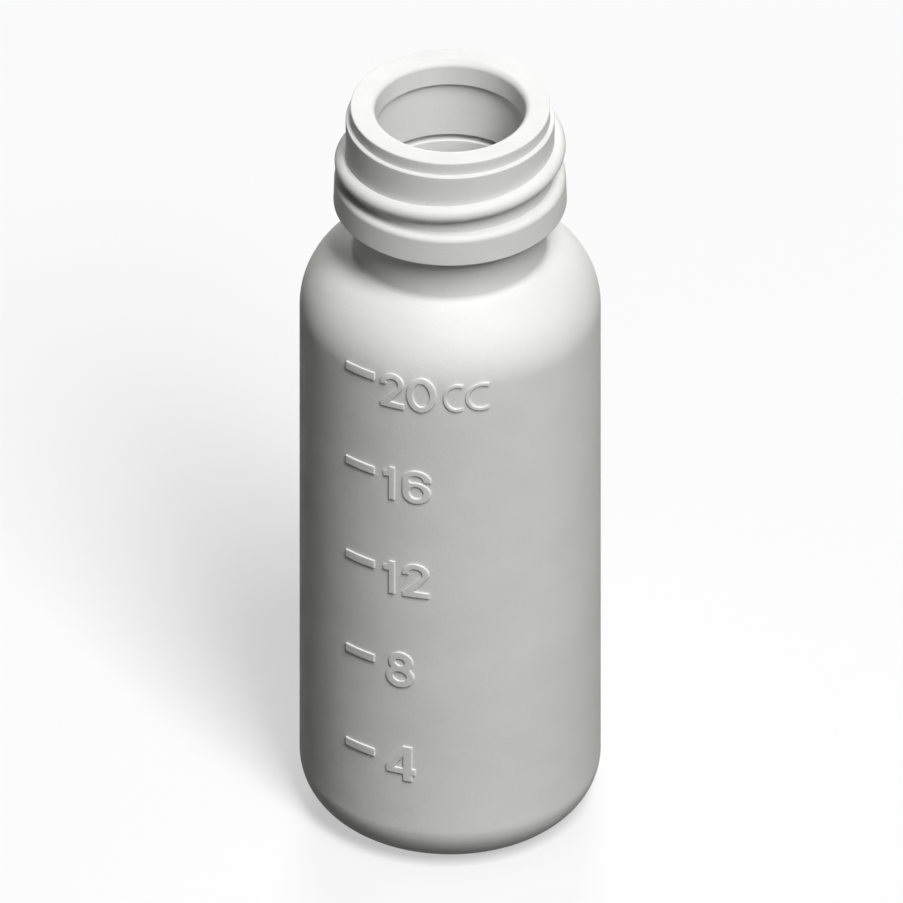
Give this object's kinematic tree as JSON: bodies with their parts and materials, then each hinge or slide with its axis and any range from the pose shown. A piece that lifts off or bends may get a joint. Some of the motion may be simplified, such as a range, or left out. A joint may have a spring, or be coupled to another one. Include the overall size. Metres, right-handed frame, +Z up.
{
  "type": "round plastic bottle",
  "caption": "Small round plastic bottle, blown in one piece, with a rounded shoulder, an open threaded neck over a ring, and a raised volume scale up the front.",
  "frame": {"origin": "middle of the underside, on the surface that the bottle stands on", "axes": "+Z up along the bottle's axis, out of the mouth; the raised scale faces -Y"},
  "size_m": [0.025, 0.0251, 0.0693],
  "materials": {
    "bottle_plastic": "matt off-white, as moulded"
  },
  "bodies": {
    "root": {"bottle": "bottle_plastic"}
  },
  "joints": []
}
